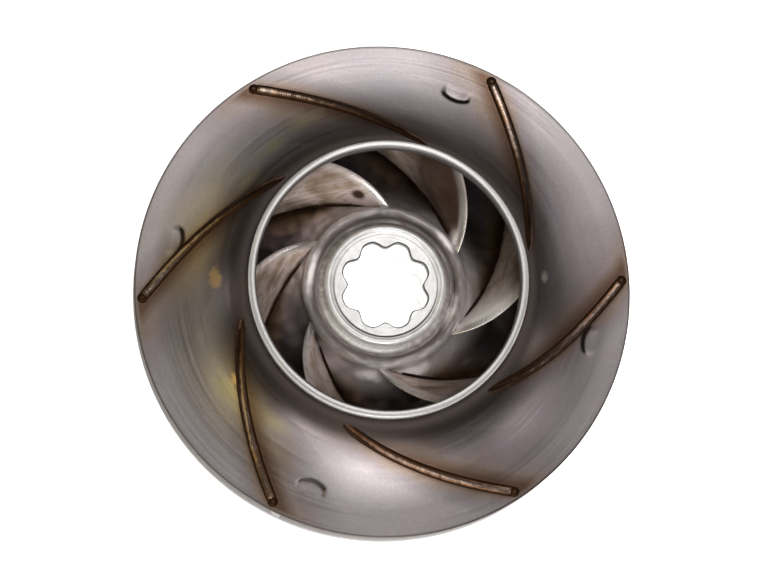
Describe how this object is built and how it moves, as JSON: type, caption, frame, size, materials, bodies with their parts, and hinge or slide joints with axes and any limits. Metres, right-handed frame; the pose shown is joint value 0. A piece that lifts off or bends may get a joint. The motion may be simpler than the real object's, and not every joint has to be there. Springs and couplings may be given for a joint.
{
  "type": "closed centrifugal pump impeller",
  "caption": "Closed pump impeller of pressed and welded stainless sheet: flared front shroud with a turned neck ring, back plate, twisted vanes and a splined hub.",
  "frame": {"origin": "middle of the hub's rear face, the lowest face, on the shaft axis", "axes": "+Z along the shaft towards the suction eye; +X and +Y across, with the trailing edge of vane 1 at 5.2 degrees from +X towards +Y"},
  "size_m": [0.13, 0.13, 0.031],
  "materials": {
    "shroud_steel": "satin pressed stainless sheet with brown, gold and olive heat tint",
    "back_plate_steel": "satin pressed stainless sheet with heat tint",
    "turned_steel": "bright turned",
    "hub_steel": "bright blasted and turned, broached spline",
    "vane_steel": "satin sheet, bronze heat tint",
    "weld": "weld bead, dark brown edges and golden crown"
  },
  "bodies": {
    "root": {"front_shroud": "shroud_steel", "neck_ring": "turned_steel", "back_plate": "back_plate_steel", "hub": "hub_steel", "vane_1": "vane_steel", "vane_2": "vane_steel", "vane_3": "vane_steel", "vane_4": "vane_steel", "vane_5": "vane_steel", "vane_6": "vane_steel", "front_weld_1": "weld", "front_weld_2": "weld", "front_weld_3": "weld", "front_weld_4": "weld", "front_weld_5": "weld", "front_weld_6": "weld", "back_weld_1": "weld", "back_weld_2": "weld", "back_weld_3": "weld", "back_weld_4": "weld", "back_weld_5": "weld", "back_weld_6": "weld", "hub_weld": "weld"}
  },
  "joints": []
}
